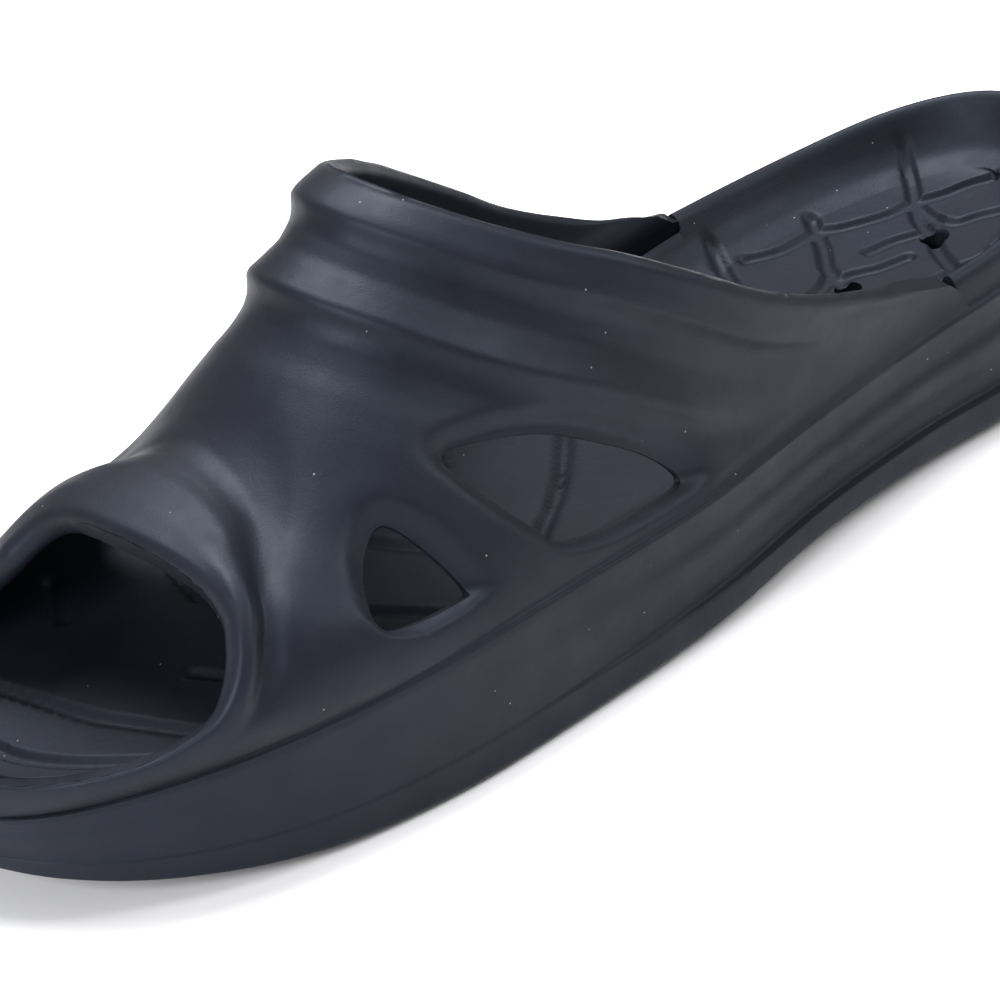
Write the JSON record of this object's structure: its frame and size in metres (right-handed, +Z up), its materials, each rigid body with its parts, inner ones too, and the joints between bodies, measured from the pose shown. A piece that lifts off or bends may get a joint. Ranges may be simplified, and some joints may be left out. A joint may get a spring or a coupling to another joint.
{
  "type": "sport slide sandal",
  "caption": "Left sport slide sandal in charcoal foam: a hollow strap with two vents a side and an open toe, on a contoured sole.",
  "frame": {"origin": "on the floor under the middle of the shoe's bounding box", "axes": "+X towards the toe, +Y towards the outer (left) side of the foot, +Z up"},
  "size_m": [0.291, 0.1052, 0.0977],
  "materials": {
    "upper_foam": "matte moulded foam",
    "sole_foam": "matte moulded foam"
  },
  "bodies": {
    "root": {"upper": "upper_foam", "sole": "sole_foam"}
  },
  "joints": []
}
